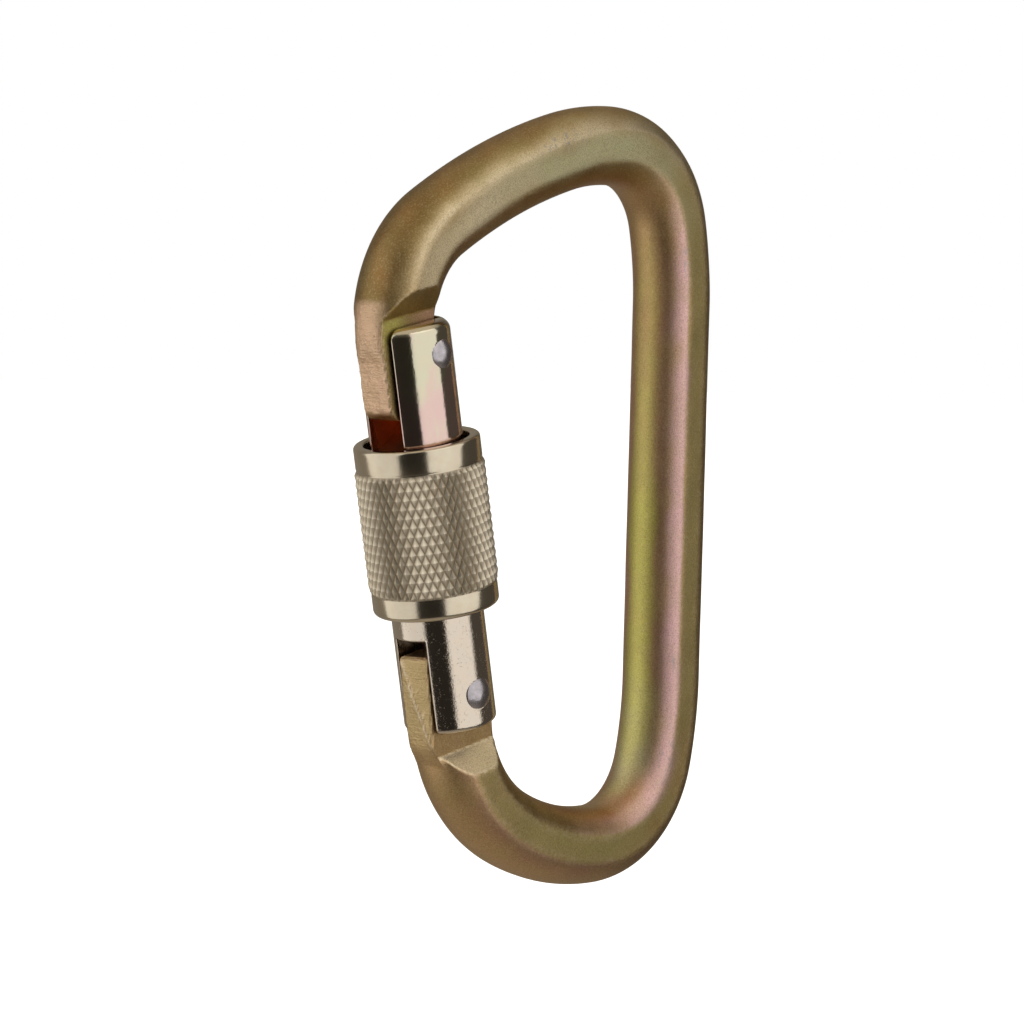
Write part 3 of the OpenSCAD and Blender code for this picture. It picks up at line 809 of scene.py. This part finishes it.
class Graph:
    """Short calls for building a material's nodes. Coordinates are in millimetres."""

    def __init__(self, name):
        self.material = bpy.data.materials.new(name)
        self.material.use_nodes = True
        self.tree = self.material.node_tree
        self.shader = self.tree.nodes["Principled BSDF"]
        self.place = None

    def node(self, kind, inputs=(), **settings):
        made = self.tree.nodes.new(kind)
        for key, value in settings.items():
            setattr(made, key, value)
        for key, value in dict(inputs).items():
            self.feed(made.inputs[key], value)
        return made

    def feed(self, socket, value):
        if isinstance(value, bpy.types.NodeSocket):
            self.tree.links.new(value, socket)
        else:
            socket.default_value = value

    def mm(self):
        """Object coordinates in millimetres."""
        if self.place is None:
            where = self.node("ShaderNodeTexCoord").outputs["Object"]
            scaled = self.node("ShaderNodeVectorMath", {0: where}, operation="SCALE")
            scaled.inputs["Scale"].default_value = 1 / MM
            self.place = scaled.outputs[0]
        return self.place

    def mapped(self, scale, turn=(0, 0, 0)):
        """Coordinates turned and then stretched, so that a pattern can run along one direction."""
        made = self.node("ShaderNodeMapping", {"Vector": self.mm(), "Rotation": turn, "Scale": scale})
        return made.outputs[0]

    def noise(self, scale, detail=2.0, rough=0.5, where=None):
        inputs = {"Vector": where or self.mm(), "Scale": scale, "Detail": detail, "Roughness": rough}
        return self.node("ShaderNodeTexNoise", inputs).outputs["Fac"]

    def span(self, value, low, high, to_low=0.0, to_high=1.0):
        """Maps low..high to to_low..to_high, clamped."""
        inputs = {"Value": value, "From Min": low, "From Max": high, "To Min": to_low, "To Max": to_high}
        return self.node("ShaderNodeMapRange", inputs).outputs[0]

    def sum(self, a, b):
        return self.node("ShaderNodeMath", {0: a, 1: b}, operation="ADD").outputs[0]

    def times(self, a, b):
        return self.node("ShaderNodeMath", {0: a, 1: b}, operation="MULTIPLY").outputs[0]

    def mix(self, share, a, b):
        made = self.node("ShaderNodeMix", data_type="RGBA")
        for index, value in ((0, share), (6, a), (7, b)):
            if isinstance(value, tuple) and len(value) == 3:
                value = (*value, 1.0)
            self.feed(made.inputs[index], value)
        return made.outputs[2]

    def value(self, name):
        return self.node("ShaderNodeAttribute", attribute_name=name).outputs["Fac"]

    def colour(self, name):
        return self.node("ShaderNodeAttribute", attribute_name=name).outputs["Color"]

    def bump(self, height, depth_mm, normal=None):
        made = self.node("ShaderNodeBump", {"Height": height, "Distance": depth_mm * MM, "Strength": 1.0})
        if normal is not None:
            self.feed(made.inputs["Normal"], normal)
        return made.outputs[0]

    def finish(self, colour, roughness, normal=None, metallic=1.0, **fixed):
        self.feed(self.shader.inputs["Base Color"], (*colour, 1.0) if isinstance(colour, tuple) else colour)
        self.feed(self.shader.inputs["Roughness"], roughness)
        self.shader.inputs["Metallic"].default_value = metallic
        for key, value in fixed.items():
            self.shader.inputs[key.replace("_", " ")].default_value = value
        if normal is not None:
            self.feed(self.shader.inputs["Normal"], normal)
        return self.material


def chromate_steel():
    """Yellow zinc chromate over blasted steel: cloudy film, fine grain, a few scuffs and worn edges."""
    g = Graph("zinc_chromate")
    cloud = g.noise(0.35, 4, 0.6)
    grain = g.noise(5.2, 3, 0.75)
    speckle = g.noise(3.8, 2, 0.6)
    # The film attribute also holds painted shade and painted highlights
    colour = g.mix(g.span(cloud, 0.35, 0.65, 0.0, 0.2), g.colour("film"), (0.52, 0.43, 0.20))
    dark = g.times(g.span(grain, 0.36, 0.56, 0.5, 0.0), g.span(g.value("trimmed"), 0.0, 1.0, 1.0, 0.4))
    colour = g.mix(dark, colour, (0.24, 0.16, 0.07))
    colour = g.mix(g.span(speckle, 0.5, 0.7, 0.0, 0.22), colour, (0.86, 0.74, 0.46))
    worn = g.times(g.value("edge"), g.span(g.noise(1.6, 3, 0.6), 0.4, 0.7))
    colour = g.mix(g.times(worn, 0.4), colour, (0.80, 0.64, 0.46))
    streaks = g.span(g.noise(1.6, 3, 0.7, g.mapped((1.0, 1.0, 0.3))), 0.52, 0.62)
    scuff = g.times(g.value("scuff"), streaks)
    colour = g.mix(g.times(scuff, 0.75), colour, (0.34, 0.33, 0.36))
    pits = g.times(g.span(g.noise(2.9, 1, 0.3), 0.2, 0.26, 1.0, 0.0), g.span(cloud, 0.5, 0.6))
    colour = g.mix(g.times(pits, 0.5), colour, (0.14, 0.10, 0.05))
    rough = g.sum(g.span(cloud, 0.3, 0.7, 0.34, 0.42), g.times(g.value("trimmed"), 0.08))
    coarse = g.times(g.value("trimmed"), g.noise(1.7, 4, 0.65))
    slant = g.mapped((0.35, 0.35, 2.6), (0, LEAN + 0.3, 0))
    ribs = g.times(g.value("trimmed"), g.noise(1.3, 3, 0.6, slant))
    normal = g.bump(ribs, 0.16)
    normal = g.bump(coarse, 0.2, normal)
    normal = g.bump(grain, 0.05, normal)
    return g.finish(colour, rough, normal)


def gate_steel():
    """Bright plated tube: rosy and green streaks up the gate at its top, bare bright plating below, painted
    shade and a painted reflection inside its slots.
    """
    g = Graph("gate_plating")
    along = g.mapped((1.0, 1.0, 0.3), (0, LEAN, 0))
    streak = g.sum(g.noise(0.32, 3, 0.55, along), g.span(g.value("height"), 37, 51, -0.13, 0.13))
    film = g.mix(g.span(streak, 0.42, 0.6), (0.72, 0.535, 0.505), (0.66, 0.635, 0.49))
    height = g.value("height")
    colour = g.mix(g.span(height, 20, 30), (0.67, 0.60, 0.52), film)
    cloud = g.noise(0.5, 3, 0.6)
    colour = g.mix(g.span(cloud, 0.4, 0.7, 0.0, 0.3), colour, (0.72, 0.60, 0.46))
    # Painted shade and painted reflection inside the slots and bore: dark low down, a bright amber
    # reflection of the tongue higher up
    slot_shade_and_reflection = g.mix(g.span(height, 12, 25), (0.22, 0.15, 0.10), (0.95, 0.46, 0.19))
    colour = g.mix(g.times(g.value("inside"), 0.85), colour, slot_shade_and_reflection)
    low = g.span(height, 8, 16, 1.0, 0.12)
    pit = g.span(g.noise(3.4, 3, 0.7), 0.56, 0.64)
    pit = g.times(pit, g.span(g.noise(0.7, 3, 0.6), 0.42, 0.58))
    pit = g.times(pit, g.times(low, g.span(g.value("inside"), 0.0, 1.0, 1.0, 0.0)))
    colour = g.mix(g.times(pit, 0.35), colour, (0.30, 0.24, 0.19))
    rough = g.sum(g.span(cloud, 0.3, 0.7, 0.09, 0.13), g.times(g.value("inside"), 0.2))
    rough = g.sum(rough, g.span(height, 20, 30, -0.02, 0.0))
    rough = g.sum(rough, g.times(pit, 0.34))
    normal = g.bump(g.noise(1.5, 3, 0.6), 0.014)
    normal = g.bump(g.times(g.noise(4.2, 3, 0.65), g.span(height, 20, 30, 1.0, 0.3)), 0.014, normal)
    return g.finish(colour, rough, normal)


def sleeve_nickel():
    """Warm bright nickel: turned bands, knurl with painted shade in its valleys and points lightened as
    rubbed wear and painted highlight.
    """
    g = Graph("sleeve_nickel")
    cloud = g.noise(0.45, 3, 0.6)
    colour = g.mix(g.span(cloud, 0.35, 0.7), (0.655, 0.595, 0.475), (0.62, 0.54, 0.42))
    knurl = g.value("knurl")
    knurled = g.span(g.value("band"), 0.0, 0.5, 1.0, 0.0)
    # Painted shade: the knurl's valleys are darkened
    valley_shade = g.times(g.span(knurl, 0.0, 0.45, 1.0, 0.0), knurled)
    colour = g.mix(g.times(valley_shade, 0.6), colour, (0.32, 0.26, 0.18))
    # Partly rubbed wear, partly painted highlight: the knurl's points are lightened
    colour = g.mix(g.span(knurl, 0.5, 1.0, 0.0, 0.8), colour, (0.98, 0.91, 0.77))
    turned = g.noise(7.0, 2, 0.5, g.mapped((0.05, 0.05, 1.0), (0, LEAN, 0)))
    rough = g.sum(g.span(cloud, 0.3, 0.7, 0.14, 0.2), g.times(knurled, 0.26))
    normal = g.bump(turned, 0.004)
    normal = g.bump(g.noise(4.0, 3, 0.6), 0.006, normal)
    return g.finish(colour, rough, normal)


def rivet_steel():
    """Peened grey steel with a faint violet cast."""
    g = Graph("rivet_steel")
    cloud = g.noise(1.2, 3, 0.6)
    colour = g.mix(g.span(cloud, 0.35, 0.7), (0.53, 0.50, 0.54), (0.40, 0.38, 0.41))
    rough = g.span(cloud, 0.3, 0.7, 0.22, 0.32)
    return g.finish(colour, rough, g.bump(g.noise(1.1, 2, 0.5), 0.02))


def plain_steel(name, colour, dark, low, high):
    """Bright wire or turned steel with fine drawing marks."""
    g = Graph(name)
    cloud = g.noise(1.5, 3, 0.6)
    shade = g.mix(g.span(cloud, 0.4, 0.7), colour, dark)
    rough = g.span(g.noise(3.0, 2, 0.5), 0.3, 0.7, low, high)
    return g.finish(shade, rough, g.bump(g.noise(6.0, 2, 0.6), 0.008))


def ring_rubber():
    """Matt black rubber with a fine moulded grain and a little dust."""
    g = Graph("ring_rubber")
    dust = g.span(g.noise(2.0, 4, 0.7), 0.5, 0.75, 0.0, 0.3)
    colour = g.mix(dust, (0.018, 0.018, 0.02), (0.09, 0.085, 0.08))
    rough = g.span(g.noise(1.0, 2, 0.5), 0.3, 0.7, 0.55, 0.75)
    return g.finish(colour, rough, g.bump(g.noise(9.0, 3, 0.6), 0.02), metallic=0.0)


# --------------------------------------------------------------------------------------------------
# Studio
# --------------------------------------------------------------------------------------------------

VIEW_AZIMUTH, VIEW_ELEVATION, VIEW_ROLL = 46.5, 4.0, 1.471
VIEW_DISTANCE, VIEW_LENS = 0.5202, 128.9
VIEW_AIM = Vector((-0.014191, 0.003317, -0.046682))
BOX_DISTANCE, BOX_WIDTH, BOX_HEIGHT = 0.55, 0.80, 1.10
BOX_TINT = (1.0, 0.97, 0.93)
FLOOR_HALF, FLOOR_Z = 3.0, -0.17


def view_axes():
    """The camera's right, up and back directions."""
    a, e, roll = (math.radians(v) for v in (VIEW_AZIMUTH, VIEW_ELEVATION, VIEW_ROLL))
    right = Vector((math.cos(a), -math.sin(a), 0))
    back = Vector((-math.sin(a) * math.cos(e), -math.cos(a) * math.cos(e), math.sin(e)))
    up = back.cross(right)
    return (
        right * math.cos(roll) + up * math.sin(roll),
        up * math.cos(roll) - right * math.sin(roll),
        back,
    )


def add_camera():
    right, up, back = view_axes()
    data = bpy.data.cameras.new("camera")
    data.lens, data.sensor_width = VIEW_LENS, 36.0
    data.clip_start, data.clip_end = 0.01, 20.0
    camera = bpy.data.objects.new("camera", data)
    turn = Matrix((right, up, back)).transposed()
    camera.matrix_world = Matrix.Translation(VIEW_AIM + VIEW_DISTANCE * back) @ turn.to_4x4()
    bpy.context.scene.collection.objects.link(camera)
    bpy.context.scene.camera = camera


def direction(round_from_view, elevation):
    """A direction given by its angle to the right of the camera's own and its height, in degrees."""
    a = math.radians(-90 - VIEW_AZIMUTH + round_from_view)
    e = math.radians(elevation)
    return Vector((math.cos(a) * math.cos(e), math.sin(a) * math.cos(e), math.sin(e)))


def add_softbox(name, round_from_view, elevation, radiance):
    """A soft area light that faces the carabiner. The camera doesn't see it, but the metal does."""
    data = bpy.data.lights.new(name, "AREA")
    data.shape, data.size, data.size_y = "RECTANGLE", BOX_WIDTH, BOX_HEIGHT
    data.energy = radiance * math.pi * BOX_WIDTH * BOX_HEIGHT
    data.color = BOX_TINT
    light = bpy.data.objects.new(name, data)
    way = direction(round_from_view, elevation)
    light.location = VIEW_AIM + BOX_DISTANCE * way
    light.rotation_mode = "QUATERNION"
    light.rotation_quaternion = (-way).to_track_quat("-Z", "Y")
    light.visible_camera = False
    bpy.context.scene.collection.objects.link(light)


def add_world():
    """White to the camera. The metal sees a dim room, darkest round the camera, lighter above and below."""
    world = bpy.data.worlds.new("studio")
    bpy.context.scene.world = world
    world.use_nodes = True
    tree = world.node_tree
    tree.nodes.clear()
    new, link = tree.nodes.new, tree.links.new
    way = new("ShaderNodeTexCoord").outputs["Generated"]

    def lobe(axis, low, high, at_low, at_high):
        dot = new("ShaderNodeVectorMath")
        dot.operation = "DOT_PRODUCT"
        link(way, dot.inputs[0])
        dot.inputs[1].default_value = axis
        ranged = new("ShaderNodeMapRange")
        ranged.interpolation_type = "SMOOTHSTEP"
        link(dot.outputs["Value"], ranged.inputs["Value"])
        for key, value in (("From Min", low), ("From Max", high), ("To Min", at_low), ("To Max", at_high)):
            ranged.inputs[key].default_value = value
        return ranged.outputs[0]

    def maths(operation, a, b):
        made = new("ShaderNodeMath")
        made.operation = operation
        for socket, value in zip(made.inputs, (a, b), strict=False):
            if isinstance(value, float):
                socket.default_value = value
            else:
                link(value, socket)
        return made.outputs[0]

    far_wall = lobe(direction(-140, 0), 0.2, 0.9, 0.08, 0.26)
    ground = lobe(Vector((0, 0, -1)), 0.45, 0.95, 0.0, 0.3)
    ceiling = lobe(Vector((0, 0, 1)), 0.6, 0.9, 0.0, 0.55)
    camera_side = lobe(direction(-8, -8), 0.75, 0.93, 1.0, 0.32)
    room = maths("ADD", maths("ADD", far_wall, ground), ceiling)
    room = maths("MULTIPLY", room, camera_side)
    dim, white, mixed = new("ShaderNodeBackground"), new("ShaderNodeBackground"), new("ShaderNodeMixShader")
    dim.inputs["Color"].default_value = (1.0, 0.88, 0.72, 1)
    link(room, dim.inputs["Strength"])
    white.inputs["Color"].default_value = (1, 1, 1, 1)
    white.inputs["Strength"].default_value = 1.0
    link(new("ShaderNodeLightPath").outputs["Is Camera Ray"], mixed.inputs["Fac"])
    link(dim.outputs[0], mixed.inputs[1])
    link(white.outputs[0], mixed.inputs[2])
    link(mixed.outputs[0], new("ShaderNodeOutputWorld").inputs["Surface"])


def add_floor():
    """Plain white floor, well below the hanging carabiner."""
    mesh = bpy.data.meshes.new("floor")
    corners = ((-1, -1), (1, -1), (1, 1), (-1, 1))
    points = [(x * FLOOR_HALF, y * FLOOR_HALF, FLOOR_Z) for x, y in corners]
    mesh.from_pydata(points, [], [(0, 1, 2, 3)])
    floor = bpy.data.objects.new("floor", mesh)
    bpy.context.scene.collection.objects.link(floor)
    g = Graph("floor_white")
    g.finish((0.9, 0.9, 0.9), 0.9, metallic=0.0, Emission_Color=(1, 1, 1, 1), Emission_Strength=1.0)
    mesh.materials.append(g.material)
    floor.visible_glossy = False
    floor.visible_diffuse = False
    floor.visible_shadow = False


def main():
    """Builds the eight pieces, then the camera, the room, the floor and the lights."""
    finishes = {
        build_body: chromate_steel,
        build_gate: gate_steel,
        build_sleeve: sleeve_nickel,
        build_push_rod: lambda: plain_steel("rod_steel", (0.62, 0.62, 0.60), (0.5, 0.49, 0.47), 0.2, 0.32),
        build_spring: lambda: plain_steel("spring_steel", (0.55, 0.54, 0.52), (0.4, 0.39, 0.37), 0.2, 0.3),
        build_drag_ring: ring_rubber,
    }
    for build, finish in finishes.items():
        build().data.materials.append(finish())
    steel = rivet_steel()
    rivets = (
        build_rivet("hinge_rivet_peened", "hinge_rivet", 0.0, 0.0, HINGE_PIN_R, 2.25, 7),
        build_rivet("latch_rivet_peened", "latch_rivet", LATCH_W, LATCH_U, LATCH_PIN_R, 2.06, 8),
    )
    for rivet in rivets:
        rivet.data.materials.append(steel)
    add_camera()
    add_world()
    add_floor()
    add_softbox("right_box", 52, 15, 0.97)
    add_softbox("left_box", -68, 5, 0.82)
    view = bpy.context.scene.view_settings
    view.view_transform, view.look, view.exposure, view.gamma = "Standard", "None", 0.0, 1.0


main()
